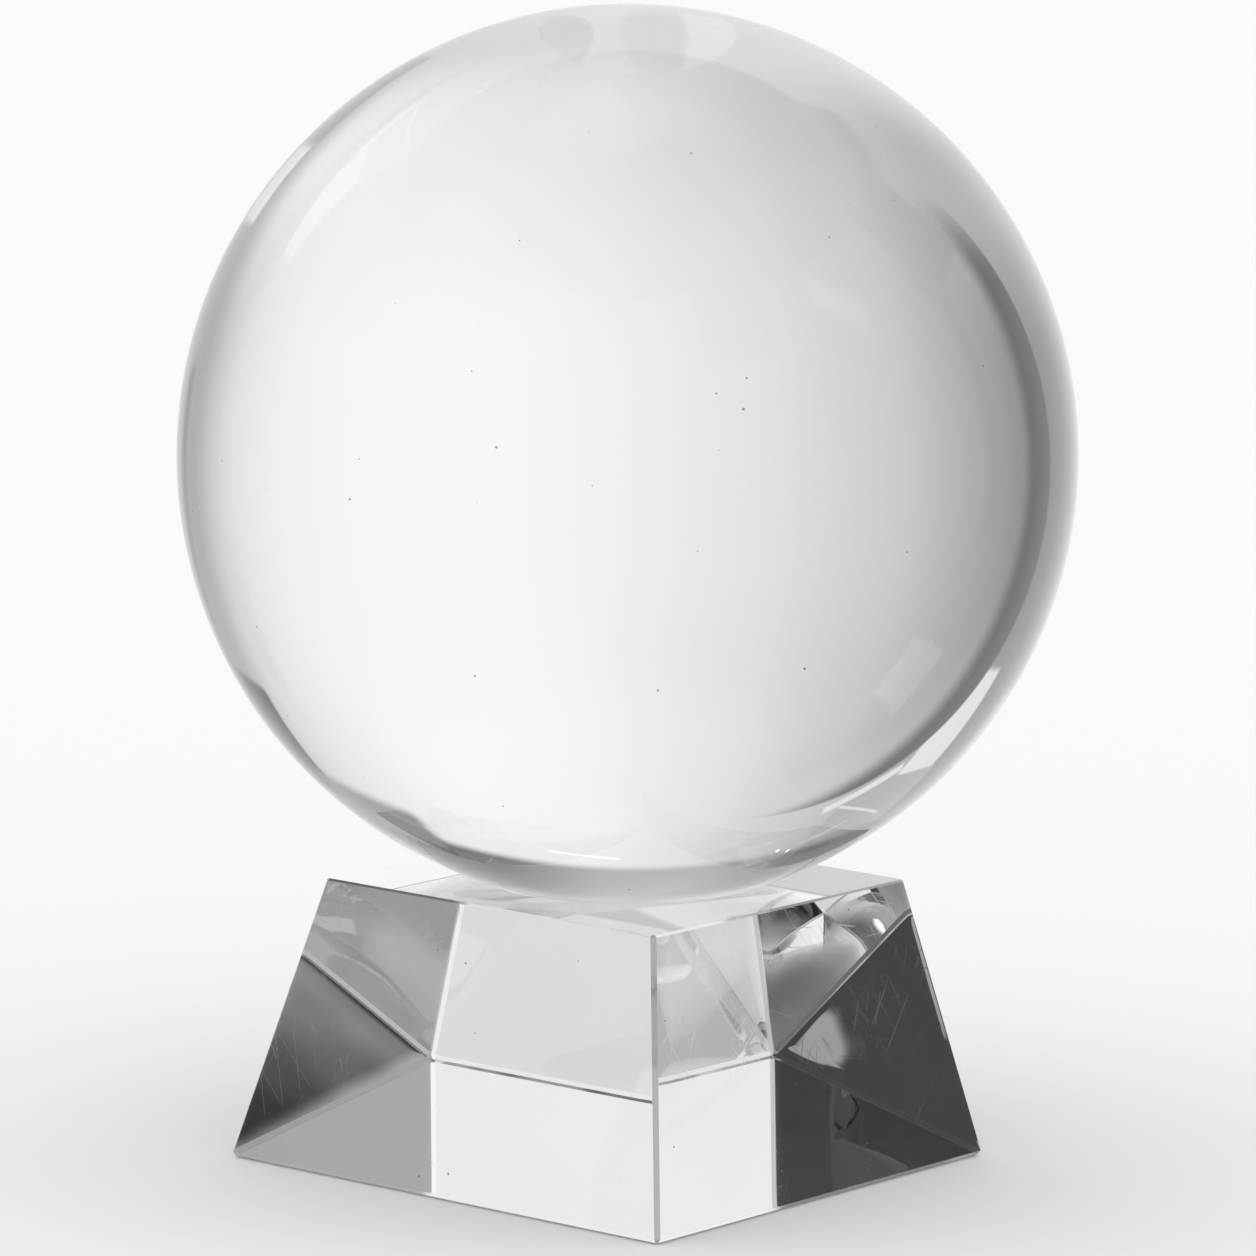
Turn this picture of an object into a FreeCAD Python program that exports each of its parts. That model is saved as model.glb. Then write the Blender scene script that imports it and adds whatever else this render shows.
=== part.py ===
"""Crystal ball on its display stand: two solid pieces of clear optical glass.

The ball lies loose in a shallow round seat ground into the top of the stand, a
square block that narrows upwards. Millimetres, +Z up. The origin is the centre
of the stand's underside, and the stand's four sides face +X, -X, +Y and -Y.
"""
import FreeCAD, Part
import math
import os
import Sketcher

# Driving dimensions: alias, value in millimetres, what it is.
DIMENSIONS = (
    ("ball_diameter", 150.0, "polished ball"),
    ("base_width", 91.0, "stand, side of the square underside"),
    ("top_width", 69.5, "stand, side of the square top face"),
    ("stand_height", 47.5, "stand, underside to top face"),
    ("ball_sink", 3.3, "how far the ball sits below the stand's top face"),
    ("seat_clearance", 0.15, "seat radius minus ball radius"),
    ("corner_bevel", 0.7, "bevel of the four slanted corner edges, each leg"),
    ("foot_bevel", 0.7, "bevel round the underside, each leg"),
    ("rim_bevel", 0.35, "bevel round the top face, each leg"),
)
SHEET = "Dimensions"
CENTRE_OF_BALL_HEIGHT = (
    f"{SHEET}.stand_height + {SHEET}.ball_diameter / 2 - {SHEET}.ball_sink"
)
ORIGIN_POINT = (-1, 1)    # sketch geometry -1 is its X axis, and point 1 is its origin
START, END, CENTRE = 1, 2, 3
QUARTER_TURN = math.pi / 2
FULL_TURN_DEGREES = 360.0
SAME_LEVEL = 1e-6


def add_dimensions(doc):
    """Put the driving dimensions in a sheet, one row each, with an alias on the value."""
    sheet = doc.addObject("Spreadsheet::Sheet", SHEET)
    for row, (alias, value, meaning) in enumerate(DIMENSIONS, start=1):
        sheet.set(f"A{row}", alias)
        sheet.set(f"B{row}", str(value))
        sheet.set(f"C{row}", meaning)
        sheet.setAlias(f"B{row}", alias)
    doc.recompute()
    return sheet


def origin_plane(body, role):
    """One of the body's own origin planes."""
    return next(item for item in body.Origin.OriginFeatures if item.Role == role)


def add_sketch(body, name, plane_role):
    """An empty sketch of the body, lying on one of its origin planes."""
    sketch = body.newObject("Sketcher::SketchObject", name)
    sketch.AttachmentSupport = [(origin_plane(body, plane_role), "")]
    sketch.MapMode = "FlatFace"
    return sketch


def bind(sketch, constraint, name, expression):
    """Add a named dimension to the sketch and drive it from the sheet."""
    index = sketch.addConstraint(constraint)
    sketch.renameConstraint(index, name)
    sketch.setExpression(f"Constraints.{name}", expression)


def add_square(body, name, width_expression, width):
    """A sketch of a square centred on the Z axis, on the XY plane."""
    sketch = add_sketch(body, name, "XY_Plane")
    half = width / 2
    corners = [
        FreeCAD.Vector(-half, -half),
        FreeCAD.Vector(half, -half),
        FreeCAD.Vector(half, half),
        FreeCAD.Vector(-half, half),
    ]
    for corner, following in zip(corners, corners[1:] + corners[:1]):
        sketch.addGeometry(Part.LineSegment(corner, following))
    for side in range(4):
        sketch.addConstraint(
            Sketcher.Constraint("Coincident", side, END, (side + 1) % 4, START)
        )
    for side, direction in enumerate(("Horizontal", "Vertical") * 2):
        sketch.addConstraint(Sketcher.Constraint(direction, side))
    sketch.addConstraint(Sketcher.Constraint("Symmetric", 0, START, 2, START, *ORIGIN_POINT))
    bind(sketch, Sketcher.Constraint("DistanceX", 0, START, 0, END, width), "width", width_expression)
    bind(sketch, Sketcher.Constraint("DistanceY", 1, START, 1, END, width), "depth", width_expression)
    return sketch


def add_half_disc(body, name, radius_expression, radius):
    """A sketch of a half disc on +X of the XZ plane, its flat side on the sketch's Y axis."""
    sketch = add_sketch(body, name, "XZ_Plane")
    circle = Part.Circle(FreeCAD.Vector(), FreeCAD.Vector(0, 0, 1), radius)
    sketch.addGeometry(Part.ArcOfCircle(circle, -QUARTER_TURN, QUARTER_TURN))
    sketch.addGeometry(
        Part.LineSegment(FreeCAD.Vector(0, radius), FreeCAD.Vector(0, -radius))
    )
    sketch.addConstraint(Sketcher.Constraint("Coincident", 0, CENTRE, *ORIGIN_POINT))
    sketch.addConstraint(Sketcher.Constraint("Coincident", 0, END, 1, START))
    sketch.addConstraint(Sketcher.Constraint("Coincident", 1, END, 0, START))
    sketch.addConstraint(Sketcher.Constraint("PointOnObject", 0, START, -2))
    sketch.addConstraint(Sketcher.Constraint("PointOnObject", 0, END, -2))
    bind(sketch, Sketcher.Constraint("Radius", 0, radius), "radius", radius_expression)
    return sketch


def turn(feature, sketch):
    """Make a revolution or a groove go a full turn about the sketch's own Y axis."""
    feature.Profile = sketch
    feature.ReferenceAxis = (sketch, ["V_Axis"])
    feature.Angle = FULL_TURN_DEGREES


def add_body(doc, name):
    body = doc.addObject("PartDesign::Body", name)
    body.Label = name
    return body


def make_ball(doc, sheet):
    """The ball: a half disc turned about the vertical axis, set down in its seat."""
    body = add_body(doc, "crystal_ball")
    half_disc = add_half_disc(
        body, "BallProfile", f"{SHEET}.ball_diameter / 2", sheet.ball_diameter / 2
    )
    turn(body.newObject("PartDesign::Revolution", "BallTurned"), half_disc)
    body.setExpression("Placement.Base.z", CENTRE_OF_BALL_HEIGHT)
    return body


def side_faces(shape):
    """The names of the shape's faces that stand upright."""
    return [
        f"Face{number}"
        for number, face in enumerate(shape.Faces, start=1)
        if abs(face.normalAt(0, 0).z) < SAME_LEVEL
    ]


def is_straight(edge):
    return not edge.Degenerated and isinstance(edge.Curve, Part.Line)


def is_level(edge):
    first, last = (vertex.Point.z for vertex in edge.Vertexes)
    return abs(first - last) < SAME_LEVEL


def is_slanted(edge):
    return not is_level(edge)


def is_at_foot(edge):
    return is_level(edge) and abs(edge.Vertexes[0].Point.z) < SAME_LEVEL


def is_at_rim(edge):
    return is_level(edge) and not is_at_foot(edge)


def add_bevel(doc, body, name, is_wanted, size_alias):
    """Bevel the straight edges of the body so far that is_wanted picks."""
    doc.recompute()
    base = body.Tip
    names = [
        f"Edge{number}"
        for number, edge in enumerate(base.Shape.Edges, start=1)
        if is_straight(edge) and is_wanted(edge)
    ]
    bevel = body.newObject("PartDesign::Chamfer", name)
    bevel.Base = (base, names)
    bevel.setExpression("Size", f"{SHEET}.{size_alias}")


def make_stand(doc, sheet):
    """The stand: a square block with leaning sides, with the ball's seat ground in."""
    body = add_body(doc, "display_stand")
    block = body.newObject("PartDesign::Pad", "Block")
    block.Profile = add_square(body, "Underside", f"{SHEET}.base_width", sheet.base_width)
    block.setExpression("Length", f"{SHEET}.stand_height")
    doc.recompute()

    leaning_sides = body.newObject("PartDesign::Draft", "LeaningSides")
    leaning_sides.Base = (block, side_faces(block.Shape))
    leaning_sides.NeutralPlane = (origin_plane(body, "XY_Plane"), [""])
    leaning_sides.setExpression(
        "Angle",
        f"atan(({SHEET}.base_width - {SHEET}.top_width) / 2 / {SHEET}.stand_height)",
    )
    doc.recompute()
    volume_of_block = leaning_sides.Shape.Volume

    ball_space = add_half_disc(
        body,
        "SeatProfile",
        f"{SHEET}.ball_diameter / 2 + {SHEET}.seat_clearance",
        sheet.ball_diameter / 2 + sheet.seat_clearance,
    )
    ball_space.setExpression("AttachmentOffset.Base.y", CENTRE_OF_BALL_HEIGHT)
    seat = body.newObject("PartDesign::Groove", "Seat")
    turn(seat, ball_space)
    doc.recompute()
    if seat.Shape.Volume >= volume_of_block:
        raise RuntimeError("the seat cut nothing from the stand")

    add_bevel(doc, body, "CornerBevel", is_slanted, "corner_bevel")
    add_bevel(doc, body, "RimBevel", is_at_rim, "rim_bevel")
    add_bevel(doc, body, "FootBevel", is_at_foot, "foot_bevel")
    return body


def check(doc, pieces):
    """Stop if any object failed, or if a piece is not one valid solid."""
    doc.recompute()
    for item in doc.Objects:
        if {"Invalid", "Error"} & set(item.State):
            raise RuntimeError(f"{item.Name} failed: {item.State}")
    for piece in pieces:
        shape = piece.Shape
        if shape.isNull() or not shape.isValid() or len(shape.Solids) != 1:
            raise RuntimeError(f"{piece.Label} is not one valid solid")


def main():
    doc = FreeCAD.newDocument("CrystalBall")
    sheet = add_dimensions(doc)
    pieces = [make_stand(doc, sheet), make_ball(doc, sheet)]
    check(doc, pieces)
    os.makedirs("parts", exist_ok=True)
    for piece in pieces:
        piece.Shape.exportStep(f"parts/{piece.Label}.step")
        box = piece.Shape.BoundBox
        print(
            f"{piece.Label}: {box.XLength:.2f} x {box.YLength:.2f} x {box.ZLength:.2f} mm,"
            f" z {box.ZMin:.2f} to {box.ZMax:.2f}, {piece.Shape.Volume / 1000:.1f} cm3"
        )
    stand, ball = pieces
    print(f"gap between them {stand.Shape.distToShape(ball.Shape)[0]:.3f} mm")


main()
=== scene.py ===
"""Looks of the crystal ball on its block stand: two solid pieces of clear glass.

Everything is in metres in the CAD frame: +Z up, origin under the stand.
"""
import math
from collections import namedtuple

import bmesh
import bpy
from mathutils import Matrix, Vector


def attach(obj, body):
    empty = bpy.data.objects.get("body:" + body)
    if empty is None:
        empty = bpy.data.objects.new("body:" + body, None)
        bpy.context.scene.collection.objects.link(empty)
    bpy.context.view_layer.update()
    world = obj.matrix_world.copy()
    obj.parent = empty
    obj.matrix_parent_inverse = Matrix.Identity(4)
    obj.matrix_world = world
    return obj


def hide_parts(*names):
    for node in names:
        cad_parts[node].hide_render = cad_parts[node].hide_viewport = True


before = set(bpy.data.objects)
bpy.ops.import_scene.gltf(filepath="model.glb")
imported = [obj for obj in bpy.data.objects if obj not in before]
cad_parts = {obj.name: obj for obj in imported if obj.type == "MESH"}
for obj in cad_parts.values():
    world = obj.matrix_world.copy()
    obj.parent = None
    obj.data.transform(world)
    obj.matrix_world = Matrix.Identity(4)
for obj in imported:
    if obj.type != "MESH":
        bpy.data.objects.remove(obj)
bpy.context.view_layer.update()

MM = 0.001

# Sizes repeated from part.py, in metres.
BALL_RADIUS = 75.0 * MM
BASE_WIDTH = 91.0 * MM
TOP_WIDTH = 69.5 * MM
STAND_HEIGHT = 47.5 * MM
BALL_SINK = 3.3 * MM
SEAT_CLEARANCE = 0.15 * MM
CORNER_BEVEL = 0.7 * MM
RIM_BEVEL = 0.35 * MM
FOOT_BEVEL = 0.7 * MM
BALL_CENTRE = Vector((0, 0, STAND_HEIGHT + BALL_RADIUS - BALL_SINK))
LEAN = math.atan((BASE_WIDTH - TOP_WIDTH) / 2 / STAND_HEIGHT)

# Polishing takes a little more off near an edge, so each face of the stand rolls off there.
ROLL_OFF_WIDTH = 3.0 * MM
ROLL_OFF_DEPTH = 0.012 * MM
SETBACKS = [distance * MM for distance in (0, 0.3, 0.7, 1.2, 2.0, 3.0, 3.4)]

# The glass and the marks of handling on it. A bend is counted in spacings between hairlines.
CRYSTAL_IOR = 1.5168
WAVE_SIZE = 18 * MM
SMEAR_SIZE = 45 * MM
WIPE_SIZE = 3 * MM
SCRATCH_PATCH_SIZE = 12 * MM
SCRATCH_BEND_SIZE = 60 * MM
SCRATCH_BEND = 5
CLEAN_TINT = (1, 1, 1, 1)
SMEAR_TINT = (0.975, 0.985, 0.98, 1)
DUST_COLOUR = (0.16, 0.155, 0.15, 1)
SMEAR_ROUGHNESS = 0.02
HAIRLINE_ROUGHNESS = 0.16
DUST_ROUGHNESS = 0.5
EDGE_ROUGHNESS = 0.12

# Camera: where it stands round the object, and where it points.
CAMERA_AZIMUTH = math.radians(37.6)
CAMERA_ELEVATION = math.radians(9.03)
CAMERA_ROLL = math.radians(1.54)
CAMERA_DISTANCE = 17.33 * BALL_RADIUS
AIM_RIGHT = 0.043 * BALL_RADIUS
AIM_UP = 1.186 * BALL_RADIUS
SENSOR_WIDTH = 36.0
LENS = 220.5
NEAREST, FARTHEST = 0.05, 100

FLOOR_SIZE = 40.0
FLOOR_GAP = 0.3 * MM
FLOOR_GREY = 0.93
PLAIN_LIGHT = 1.1      # what lights the floor and fills the view beyond it
MOST_BOUNCES = 32      # light turns many times inside the stand before it leaves

# A Mix node's sockets for each kind of value: first, second and result.
MIX_SOCKETS = {"FLOAT": (2, 3, 0), "RGBA": (6, 7, 2)}


# ---------------------------------------------------------------- small helpers
def new_object(name, data):
    piece = bpy.data.objects.new(name, data)
    bpy.context.scene.collection.objects.link(piece)
    return piece


def new_material(name):
    """An empty node material: the material, its tree and its output node."""
    material = bpy.data.materials.new(name)
    material.use_nodes = True
    tree = material.node_tree
    tree.nodes.clear()
    return material, tree, tree.nodes.new("ShaderNodeOutputMaterial")


def feed(tree, socket, value):
    """Give a socket a plain value, or link another socket to it."""
    if isinstance(value, bpy.types.NodeSocket):
        tree.links.new(value, socket)
    else:
        socket.default_value = value


def math_node(tree, operation, *values, clamp=False):
    node = tree.nodes.new("ShaderNodeMath")
    node.operation = operation
    node.use_clamp = clamp
    for socket, value in zip(node.inputs, values):
        feed(tree, socket, value)
    return node.outputs[0]


def fade(tree, value, start, end):
    """A smooth change from 0 to 1 as value goes from start to end, up or down."""
    node = tree.nodes.new("ShaderNodeMapRange")
    node.interpolation_type = "SMOOTHSTEP"
    for name, number in (("Value", value), ("From Min", start), ("From Max", end)):
        feed(tree, node.inputs[name], number)
    return node.outputs["Result"]


def mix(tree, share, first, second, kind="FLOAT"):
    """first where share is 0 and second where it is 1, all of them plain values or sockets."""
    node = tree.nodes.new("ShaderNodeMix")
    node.data_type = kind
    first_socket, second_socket, result = MIX_SOCKETS[kind]
    for index, value in ((0, share), (first_socket, first), (second_socket, second)):
        feed(tree, node.inputs[index], value)
    return node.outputs[result]


def grey_ramp(tree, value, stops):
    """A ColorRamp of greys: stops are (position, grey) pairs, smoothly joined."""
    node = tree.nodes.new("ShaderNodeValToRGB")
    node.color_ramp.interpolation = "CARDINAL"
    elements = node.color_ramp.elements
    while len(elements) < len(stops):
        elements.new(0.5)
    for element, (position, grey) in zip(elements, stops):
        element.position = position
        element.color = (grey, grey, grey, 1)
    tree.links.new(value, node.inputs["Fac"])
    return node.outputs["Color"]


# ---------------------------------------------------------------- camera
def make_camera():
    toward = Vector((
        math.sin(CAMERA_AZIMUTH) * math.cos(CAMERA_ELEVATION),
        -math.cos(CAMERA_AZIMUTH) * math.cos(CAMERA_ELEVATION),
        math.sin(CAMERA_ELEVATION),
    ))
    level_right = Vector((0, 0, 1)).cross(toward).normalized()
    level_up = toward.cross(level_right)
    cos_roll, sin_roll = math.cos(CAMERA_ROLL), math.sin(CAMERA_ROLL)
    right = level_right * cos_roll + level_up * sin_roll
    up = level_up * cos_roll - level_right * sin_roll
    place = right * AIM_RIGHT + up * AIM_UP + toward * CAMERA_DISTANCE

    data = bpy.data.cameras.new("camera")
    data.sensor_width = SENSOR_WIDTH
    data.lens = LENS
    data.clip_start, data.clip_end = NEAREST, FARTHEST
    camera = new_object("camera", data)
    turn = Matrix((right, up, toward)).transposed()
    camera.matrix_world = Matrix.Translation(place) @ turn.to_4x4()
    bpy.context.scene.camera = camera


# ---------------------------------------------------------------- ball
def make_ball():
    """A fine sphere made of the six faces of a cube, each blown out to the ball's radius."""
    cells_per_side = 96
    maker = bmesh.new()
    bmesh.ops.create_cube(maker, size=2)
    bmesh.ops.subdivide_edges(
        maker, edges=maker.edges[:], cuts=cells_per_side - 1, use_grid_fill=True
    )
    for vertex in maker.verts:
        even = Vector(math.tan(c * math.pi / 4) for c in vertex.co)
        vertex.co = BALL_CENTRE + even.normalized() * BALL_RADIUS
    for face in maker.faces:
        face.smooth = True
    mesh = bpy.data.meshes.new("crystal_ball_polished")
    maker.to_mesh(mesh)
    maker.free()
    return new_object("crystal_ball_polished", mesh)


# ---------------------------------------------------------------- stand
def roll_off(*setbacks):
    """How far polishing took the surface down at these distances from the edges near it."""
    shares = [max(0.0, 1 - setback / ROLL_OFF_WIDTH) for setback in setbacks]
    return ROLL_OFF_DEPTH * sum(share**2 for share in shares)


def corner_cut(inset):
    """How much shorter than the full square a side is at each end, on a ring drawn in by inset."""
    least = 0.05 * MM
    edge_angle = math.atan(math.sin(LEAN))
    cut = CORNER_BEVEL / math.cos(edge_angle) - (2 - math.sqrt(2)) * inset
    return max(cut, least)


def square_ring(point_on_side, half_length):
    """A ring of points round the stand: the points of one side, turned to each of the four.

    point_on_side takes the distance along the side and the distance to the nearer corner.
    """
    ends = [half_length - setback for setback in SETBACKS]
    along = [-x for x in ends] + ends[::-1]
    side = [point_on_side(x, half_length - abs(x)) for x in along]
    return [
        Matrix.Rotation(quarter * math.pi / 2, 3, "Z") @ point
        for quarter in range(4)
        for point in side
    ]


def level_ring(half_width, height, bevel, setback, inward):
    """A ring on a level face; inward is +1 on the underside and -1 on the top."""
    def point(along, to_corner):
        return Vector((along, -half_width, height + inward * roll_off(setback)))
    return square_ring(point, half_width - corner_cut(bevel + setback))


def slanted_ring(climb, length):
    """A ring on the four leaning sides, climb above their lower edge along the slant."""
    height = (FOOT_BEVEL + climb) * math.cos(LEAN)
    half_width = BASE_WIDTH / 2 - height * math.tan(LEAN)

    def point(along, to_corner):
        depth = roll_off(to_corner, climb, length - climb)
        return Vector((
            along,
            -half_width + depth * math.cos(LEAN),
            height - depth * math.sin(LEAN),
        ))
    return square_ring(point, half_width - corner_cut(0))


def stand_rings():
    """The rings in order: out over the underside, up the sides and in over the top face."""
    length = STAND_HEIGHT / math.cos(LEAN) - FOOT_BEVEL - RIM_BEVEL
    lower_half = BASE_WIDTH / 2 - FOOT_BEVEL
    upper_half = TOP_WIDTH / 2 - RIM_BEVEL
    rings = [level_ring(lower_half - s, 0, FOOT_BEVEL, s, 1) for s in reversed(SETBACKS)]
    rings += [slanted_ring(s, length) for s in SETBACKS]
    rings += [slanted_ring(length - s, length) for s in reversed(SETBACKS)]
    rings += [level_ring(upper_half - s, STAND_HEIGHT, RIM_BEVEL, s, -1) for s in SETBACKS]
    return rings


def join_rings(maker, lower, upper):
    """Quads between two rings of the same number of vertices."""
    count = len(lower)
    for i in range(count):
        j = (i + 1) % count
        maker.faces.new((lower[i], lower[j], upper[j], upper[i]))


def edges_round(maker, ring):
    return [maker.edges.get((a, b)) for a, b in zip(ring, ring[1:] + ring[:1])]


def add_seat(maker):
    """The round hollow for the ball, as faces from its rim inwards; returns the rim's vertices."""
    rim_sides, ring_count = 256, 24
    seat_radius = BALL_RADIUS + SEAT_CLEARANCE
    rim_angle = math.acos((BALL_CENTRE.z - STAND_HEIGHT) / seat_radius)
    rings = []
    for ring in range(ring_count):
        angle = rim_angle * (1 - ring / ring_count)
        radius, drop = seat_radius * math.sin(angle), seat_radius * math.cos(angle)
        rings.append([
            maker.verts.new((
                radius * math.cos(2 * math.pi * side / rim_sides),
                radius * math.sin(2 * math.pi * side / rim_sides),
                BALL_CENTRE.z - drop,
            ))
            for side in range(rim_sides)
        ])
    for outer, inner in zip(rings, rings[1:]):
        join_rings(maker, outer, inner)
    bottom = maker.verts.new((0, 0, BALL_CENTRE.z - seat_radius))
    last = rings[-1]
    for a, b in zip(last, last[1:] + last[:1]):
        maker.faces.new((a, b, bottom))
    return rings[0]


def make_stand():
    """The block: rings of points joined by narrow faces, and the seat ground into its top."""
    sharp_angle = math.radians(8)
    maker = bmesh.new()
    rings = [[maker.verts.new(point) for point in ring] for ring in stand_rings()]
    for lower, upper in zip(rings, rings[1:]):
        join_rings(maker, lower, upper)
    maker.faces.new(reversed(rings[0]))
    seat_rim = add_seat(maker)
    border = edges_round(maker, rings[-1]) + edges_round(maker, seat_rim)
    bmesh.ops.triangle_fill(maker, edges=border, use_beauty=True, use_dissolve=False)

    bmesh.ops.recalc_face_normals(maker, faces=maker.faces[:])
    for face in maker.faces:
        face.smooth = True
    for edge in maker.edges:
        edge.smooth = edge.calc_face_angle() < sharp_angle
    mesh = bpy.data.meshes.new("display_stand_polished")
    maker.to_mesh(mesh)
    maker.free()
    return new_object("display_stand_polished", mesh)


# ---------------------------------------------------------------- materials
def noise(tree, position, size, detail, roughness=0.5):
    """Cloudy noise, 0 to 1, its largest features about size across."""
    node = tree.nodes.new("ShaderNodeTexNoise")
    node.inputs["Scale"].default_value = 1 / size
    node.inputs["Detail"].default_value = detail
    node.inputs["Roughness"].default_value = roughness
    tree.links.new(position, node.inputs["Vector"])
    return node.outputs["Fac"]


def mapped(tree, position, turn, stretch):
    """The position turned and then stretched, for marks that run in one direction."""
    node = tree.nodes.new("ShaderNodeMapping")
    node.vector_type = "POINT"
    node.inputs["Rotation"].default_value = [math.radians(angle) for angle in turn]
    node.inputs["Scale"].default_value = stretch
    tree.links.new(position, node.inputs["Vector"])
    return node.outputs["Vector"]


def specks(tree, position, spacing, radius, share):
    """1 on a few small round specks, 0 between them; share is how many cells hold one."""
    node = tree.nodes.new("ShaderNodeTexVoronoi")
    node.inputs["Scale"].default_value = 1 / spacing
    tree.links.new(position, node.inputs["Vector"])
    split = tree.nodes.new("ShaderNodeSeparateColor")
    tree.links.new(node.outputs["Color"], split.inputs[0])
    chance = split.outputs[0]
    size = math_node(tree, "MULTIPLY", chance, radius / spacing / share)
    is_speck = math_node(tree, "LESS_THAN", chance, share)
    soft = 0.01
    inside = fade(tree, math_node(tree, "SUBTRACT", node.outputs["Distance"], size), 0, -soft)
    return math_node(tree, "MULTIPLY", inside, is_speck)


def hairlines(tree, position, turn, spacing, half_width, bend, patch):
    """1 on fine scratches that run much the same way, 0 between them and outside the patches."""
    core = 0.3 * half_width
    split = tree.nodes.new("ShaderNodeSeparateXYZ")
    tree.links.new(mapped(tree, position, turn, [1 / spacing] * 3), split.inputs[0])
    phase = math_node(tree, "FRACT", math_node(tree, "ADD", split.outputs["X"], bend))
    off_line = math_node(tree, "ABSOLUTE", math_node(tree, "SUBTRACT", phase, 0.5))
    line = fade(tree, off_line, half_width / spacing, core / spacing)
    return math_node(tree, "MULTIPLY", line, patch)


def scratches(tree, position, share):
    """1 on hairlines that run two ways, in patches over about this share of the surface."""
    patch_edge = 0.08
    patch = noise(tree, position, SCRATCH_PATCH_SIZE, 1)
    patch = fade(tree, patch, 1 - share, 1 - share + patch_edge)
    bend = noise(tree, position, SCRATCH_BEND_SIZE, 0)
    bend = math_node(tree, "MULTIPLY", bend, SCRATCH_BEND)
    return math_node(
        tree, "MAXIMUM",
        hairlines(tree, position, (15, 25, 40), 3.1 * MM, 0.09 * MM, bend, patch),
        hairlines(tree, position, (-30, 10, -65), 4.7 * MM, 0.07 * MM, bend, patch),
    )


def dust_specks(tree, position):
    """1 on specks of dust, some larger and some finer."""
    return math_node(
        tree, "MAXIMUM",
        specks(tree, position, 5 * MM, 0.28 * MM, 0.5),
        specks(tree, position, 2.2 * MM, 0.11 * MM, 0.35),
    )


def ground_edges(tree, position):
    """1 on the stand's bevels, which are ground and less polished than its faces."""
    hair = 0.03 * MM
    split = tree.nodes.new("ShaderNodeSeparateXYZ")
    tree.links.new(position, split.inputs[0])
    across, along, height = split.outputs
    across = math_node(tree, "ABSOLUTE", across)
    along = math_node(tree, "ABSOLUTE", along)
    both = math_node(tree, "ADD", across, along)
    both = math_node(tree, "MULTIPLY_ADD", height, 2 * math.tan(LEAN), both)
    corner_start = BASE_WIDTH - corner_cut(0) - 2 * ROLL_OFF_DEPTH - hair
    corner = fade(tree, both, corner_start - hair, corner_start)

    above = fade(tree, height, ROLL_OFF_DEPTH, ROLL_OFF_DEPTH + hair)
    foot_top = FOOT_BEVEL * math.cos(LEAN)
    foot = math_node(tree, "MULTIPLY", above, fade(tree, height, foot_top, foot_top - hair))

    rim_start = TOP_WIDTH / 2 - 2 * RIM_BEVEL
    outside = fade(tree, math_node(tree, "MAXIMUM", across, along), rim_start - hair, rim_start)
    rim_foot = STAND_HEIGHT - RIM_BEVEL * math.cos(LEAN)
    over = fade(tree, height, rim_foot, rim_foot + hair)
    under = fade(tree, height, STAND_HEIGHT - ROLL_OFF_DEPTH, STAND_HEIGHT - ROLL_OFF_DEPTH - hair)
    rim = math_node(tree, "MULTIPLY", outside, math_node(tree, "MULTIPLY", over, under))
    return math_node(tree, "MAXIMUM", corner, math_node(tree, "MAXIMUM", foot, rim))


def crystal(name, scratched, wave, edges=None):
    """Clear polished optical glass that has been handled: smears, hairlines and dust.

    scratched is how much of the surface has hairlines, wave is how far the polish rises and
    falls, and edges marks the ground bevels.
    """
    material, tree, output = new_material(name)
    position = tree.nodes.new("ShaderNodeTexCoord").outputs["Object"]
    shader = tree.nodes.new("ShaderNodeBsdfPrincipled")
    shader.inputs["IOR"].default_value = CRYSTAL_IOR
    shader.inputs["Transmission Weight"].default_value = 1
    shader.distribution = "GGX"

    smear = fade(tree, noise(tree, position, SMEAR_SIZE, 1, 0.55), 0.52, 0.7)
    wiped = mapped(tree, position, (20, 35, 10), (0.3, 1, 1))
    grease = math_node(tree, "MULTIPLY", smear, noise(tree, wiped, WIPE_SIZE, 2, 0.6))
    dust = dust_specks(tree, position)

    roughness = math_node(tree, "MULTIPLY", grease, SMEAR_ROUGHNESS)
    roughness = mix(tree, scratches(tree, position, scratched), roughness, HAIRLINE_ROUGHNESS)
    roughness = mix(tree, dust, roughness, DUST_ROUGHNESS)
    if edges:
        roughness = mix(tree, edges(tree, position), roughness, EDGE_ROUGHNESS)
    feed(tree, shader.inputs["Roughness"], roughness)

    colour = mix(tree, smear, CLEAN_TINT, SMEAR_TINT, "RGBA")
    colour = mix(tree, dust, colour, DUST_COLOUR, "RGBA")
    feed(tree, shader.inputs["Base Color"], colour)

    relief = math_node(tree, "MULTIPLY", noise(tree, position, WAVE_SIZE, 0), wave)
    bump = tree.nodes.new("ShaderNodeBump")
    bump.inputs["Strength"].default_value = 1
    bump.inputs["Distance"].default_value = 1
    tree.links.new(relief, bump.inputs["Height"])
    tree.links.new(bump.outputs["Normal"], shader.inputs["Normal"])
    tree.links.new(shader.outputs["BSDF"], output.inputs["Surface"])
    return material


# ---------------------------------------------------------------- studio
# Directions in the studio are a side angle, 0 behind the object as the camera sees it and
# growing to the right, and a height angle above the horizon, both in degrees.
# A panel is a rectangle of them: its middle, its half sizes, the width of its soft edge and
# its tilt, and how bright it is.
Panel = namedtuple("Panel", "side height half_width half_height soft tilt glow")

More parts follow.
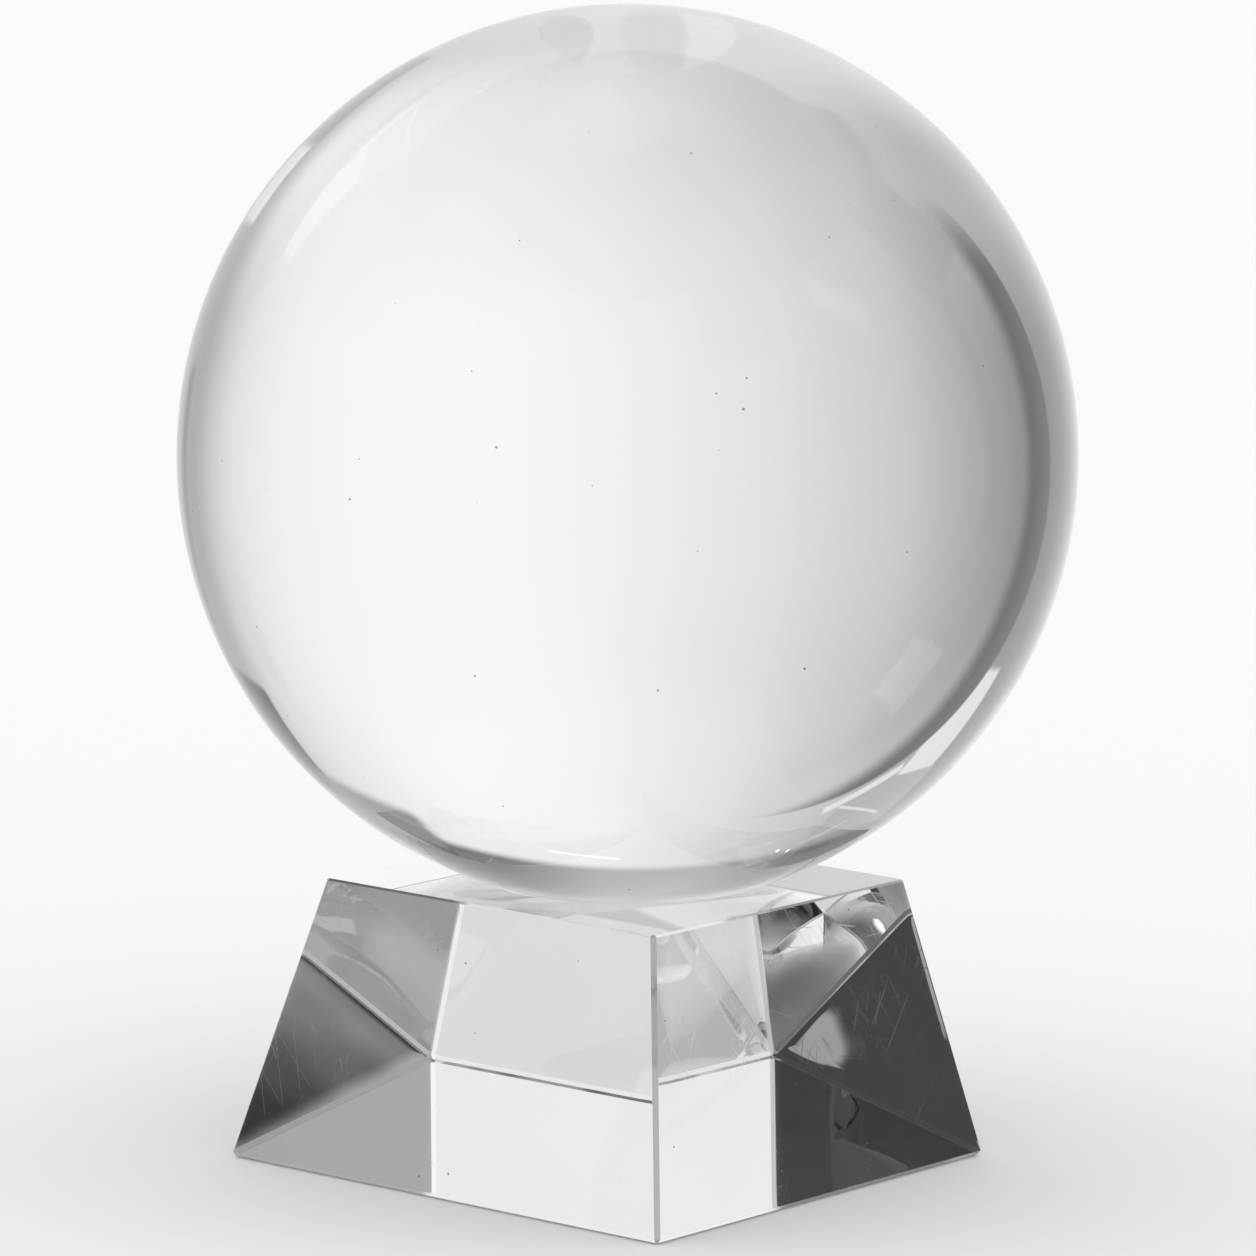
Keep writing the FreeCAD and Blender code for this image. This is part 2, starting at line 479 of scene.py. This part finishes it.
PANELS = (
    Panel(69, 36.8, 12, 10, 2, 0, 0.03),             # black flag on the right
    Panel(75, 12, 2.5, 24, 4, 0, 0.12),              # narrow flag on the right
    Panel(81, -37, 8, 6, 2, 0, 1.12),                # low light on the right
    Panel(82, -53, 12, 9, 2, 0, 0.33),               # its lower part, in shade
    Panel(47, 46, 14, 5, 4, 0, 0.28),                # shaded wall on the right
    Panel(-50, 27.5, 6, 8, 1.4, -14, 0.84),          # window on the left
    Panel(-44, 39.5, 11, 5.5, 0.8, -8, 0.4),         # its upper part, in shade
    Panel(-41, 40, 8.5, 0.25, 0.4, -22, 0.8),        # a glazing bar in that part
    Panel(-36, 34.3, 6.5, 0.9, 0.6, 22, 0.8),        # its sill
    Panel(-36, 44, 4, 0.2, 0.4, 30, 0.7),            # a second bar
    Panel(-31.5, 47.5, 0.3, 0.5, 0.4, 0, 1.5),       # small lamp over it
    Panel(-28.5, 46.5, 0.3, 0.5, 0.4, 30, 1.5),      # and another
    Panel(5, 43.5, 5.5, 0.35, 0.4, -6, 1.15),        # thin tube over the backdrop
    Panel(147, 41, 12, 11, 5, 0, 0.1),           # dark patch high behind the camera
    Panel(-112, -12, 22, 25, 12, 0, 0.01),           # low black card on the left
    Panel(-95, 36, 14, 13, 8, 0, 0.03),              # high black card on the left
    Panel(-93.3, 31.35, 0.52, 0.76, 0.16, 0, 0.34),  # small gap in that card
    Panel(111, 37, 9, 3.5, 5, 40, 1.35),             # lamp behind the camera on the right
)
# A round black flag on the left, inside a wide circle and outside a second one. Each circle
# has a side, a height, a radius and a soft edge, and the flag fades out below.
FLAG_OUTER = (-20.9, -4.0, 39.1, 0.8)
FLAG_INNER = (-9.2, -4.7, 41.8, 5.0)
FLAG_FOOT = (-38, -26)
FLAG_GLOW = 0.06

# The room's own glow in rings, as (side, glow) pairs all the way round.
MIDDLE_RING = (
    (-180, 0.46), (-165, 0.26), (-148, 0.4), (-132, 0.24), (-110, 0.12), (-90, 0.2),
    (-68, 0.16), (-55, 0.22), (-45, 0.33), (-30, 0.54), (-15, 0.74), (0, 0.9), (15, 0.98),
    (30, 0.97), (45, 0.9), (54, 0.78), (64, 0.48), (76, 0.38), (95, 0.5), (130, 0.55),
    (150, 0.47), (165, 0.46), (180, 0.46),
)
UPPER_RING = (
    (-180, 0.12), (-150, 0.08), (-125, 0.2), (-95, 0.33), (-72, 0.08), (-42, 0.05),
    (-20, 0.34), (-5, 0.42), (8, 0.32), (24, 0.06), (55, 0.06), (75, 0.2), (100, 0.3),
    (120, 0.28), (150, 0.14), (180, 0.12),
)
TOP_RING = (
    (-180, 0.1), (-120, 0.3), (-60, 0.5), (0, 0.5), (35, 0.3), (60, 0.14), (120, 0.12), (180, 0.1),
)
LOWER_RING = (
    (-180, 0.4), (-140, 0.44), (-118, 0.2), (-100, 0.2), (-80, 0.36), (-60, 0.38),
    (-45, 0.45), (-30, 0.58), (-15, 0.68), (0, 0.79), (15, 0.87), (30, 0.94), (45, 1.0),
    (58, 1.03), (68, 0.6), (80, 0.35), (95, 0.12), (120, 0.2), (150, 0.1), (180, 0.4),
)
TABLE_GLOW = 0.72
# The heights over which one ring gives way to the next.
MIDDLE_TO_UPPER = (46, 49.5)
UPPER_TO_TOP = (64, 72)
MIDDLE_TO_LOWER = (-15, -40)
LOWER_TO_TABLE = (-42, -66)


def direction_to(side, height):
    side, height = math.radians(side), math.radians(height)
    return (math.cos(height) * math.sin(side), math.cos(height) * math.cos(side), math.sin(height))


def studio_direction(tree):
    """The direction being looked at, turned so that its Y points away from the camera."""
    coordinate = tree.nodes.new("ShaderNodeTexCoord")
    turned = tree.nodes.new("ShaderNodeVectorRotate")
    turned.rotation_type = "Z_AXIS"
    turned.inputs["Angle"].default_value = -CAMERA_AZIMUTH
    tree.links.new(coordinate.outputs["Generated"], turned.inputs["Vector"])
    return turned.outputs[0]


def inside_circle(tree, direction, side, height, radius, soft):
    """1 within a circle of directions, 0 outside it."""
    node = tree.nodes.new("ShaderNodeVectorMath")
    node.operation = "DOT_PRODUCT"
    tree.links.new(direction, node.inputs[0])
    node.inputs[1].default_value = direction_to(side, height)
    away = math_node(tree, "DEGREES", math_node(tree, "ARCCOSINE", node.outputs["Value"]))
    return fade(tree, away, radius + soft / 2, radius - soft / 2)


def inside_panel(tree, side, height, panel):
    """1 within a tilted rectangle of directions, 0 outside it."""
    across = math_node(tree, "SUBTRACT", side, panel.side)
    above = math_node(tree, "SUBTRACT", height, panel.height)
    cos_tilt, sin_tilt = math.cos(math.radians(panel.tilt)), math.sin(math.radians(panel.tilt))
    along = math_node(
        tree, "MULTIPLY_ADD", across, cos_tilt, math_node(tree, "MULTIPLY", above, sin_tilt)
    )
    up = math_node(
        tree, "MULTIPLY_ADD", above, cos_tilt, math_node(tree, "MULTIPLY", across, -sin_tilt)
    )
    edge = panel.soft / 2
    shares = [
        fade(tree, math_node(tree, "ABSOLUTE", value), half + edge, half - edge)
        for value, half in ((along, panel.half_width), (up, panel.half_height))
    ]
    return math_node(tree, "MULTIPLY", *shares)


def studio_glow(tree):
    """How bright the studio is in each direction, as the glass sees it."""
    direction = studio_direction(tree)
    split = tree.nodes.new("ShaderNodeSeparateXYZ")
    tree.links.new(direction, split.inputs[0])
    side = math_node(tree, "ARCTAN2", split.outputs["X"], split.outputs["Y"])
    side = math_node(tree, "DEGREES", side)
    height = math_node(tree, "DEGREES", math_node(tree, "ARCSINE", split.outputs["Z"]))
    round_share = math_node(tree, "MULTIPLY_ADD", side, 1 / 360, 0.5)

    def ring_glow(ring):
        return grey_ramp(tree, round_share, [(0.5 + angle / 360, grey) for angle, grey in ring])

    glow = mix(
        tree, fade(tree, height, *MIDDLE_TO_UPPER), ring_glow(MIDDLE_RING), ring_glow(UPPER_RING)
    )
    glow = mix(tree, fade(tree, height, *UPPER_TO_TOP), glow, ring_glow(TOP_RING))
    glow = mix(tree, fade(tree, height, *MIDDLE_TO_LOWER), glow, ring_glow(LOWER_RING))
    glow = mix(tree, fade(tree, height, *LOWER_TO_TABLE), glow, TABLE_GLOW)
    for panel in PANELS:
        glow = mix(tree, inside_panel(tree, side, height, panel), glow, panel.glow)
    outer = inside_circle(tree, direction, *FLAG_OUTER)
    inner = inside_circle(tree, direction, *FLAG_INNER)
    flag = math_node(tree, "SUBTRACT", outer, inner, clamp=True)
    flag = math_node(tree, "MULTIPLY", flag, fade(tree, height, *FLAG_FOOT))
    return mix(tree, flag, glow, FLAG_GLOW)


def make_studio_light():
    """The glass sees the studio; the floor and the view beyond it get plain even light."""
    world = bpy.data.worlds.new("studio")
    bpy.context.scene.world = world
    world.use_nodes = True
    tree = world.node_tree
    tree.nodes.clear()
    output = tree.nodes.new("ShaderNodeOutputWorld")
    background = tree.nodes.new("ShaderNodeBackground")
    tree.links.new(background.outputs[0], output.inputs["Surface"])
    path = tree.nodes.new("ShaderNodeLightPath")
    plain = math_node(
        tree, "MAXIMUM", path.outputs["Is Camera Ray"], path.outputs["Is Diffuse Ray"]
    )
    feed(tree, background.inputs["Strength"], mix(tree, plain, studio_glow(tree), PLAIN_LIGHT))
    background.inputs["Color"].default_value = (1, 1, 1, 1)


def make_floor():
    """Plain white paper just below the stand. The glass looks past it, into the studio's glow."""
    half = FLOOR_SIZE / 2
    mesh = bpy.data.meshes.new("floor")
    corners = [
        (x * half, y * half, -FLOOR_GAP) for x, y in ((-1, -1), (1, -1), (1, 1), (-1, 1))
    ]
    mesh.from_pydata(corners, [], [(0, 1, 2, 3)])
    floor = new_object("floor", mesh)
    material, tree, output = new_material("floor_paper")
    paper = tree.nodes.new("ShaderNodeBsdfDiffuse")
    paper.inputs["Color"].default_value = (FLOOR_GREY, FLOOR_GREY, FLOOR_GREY, 1)
    clear = tree.nodes.new("ShaderNodeBsdfTransparent")
    path = tree.nodes.new("ShaderNodeLightPath")
    choice = tree.nodes.new("ShaderNodeMixShader")
    tree.links.new(path.outputs["Is Camera Ray"], choice.inputs["Fac"])
    tree.links.new(clear.outputs["BSDF"], choice.inputs[1])
    tree.links.new(paper.outputs["BSDF"], choice.inputs[2])
    tree.links.new(choice.outputs["Shader"], output.inputs["Surface"])
    mesh.materials.append(material)


# ---------------------------------------------------------------- assembly
make_camera()
ball = make_ball()
stand = make_stand()
ball.data.materials.append(crystal("ball_crystal", scratched=0.4, wave=0.002 * MM))
stand.data.materials.append(
    crystal("stand_crystal", scratched=0.43, wave=0.010 * MM, edges=ground_edges)
)
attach(ball, "ball")
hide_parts("crystal_ball")
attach(stand, "stand")
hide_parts("display_stand")

make_floor()
make_studio_light()
scene = bpy.context.scene
scene.view_settings.view_transform = "Standard"
scene.cycles.max_bounces = MOST_BOUNCES
scene.cycles.transmission_bounces = MOST_BOUNCES
scene.cycles.glossy_bounces = MOST_BOUNCES
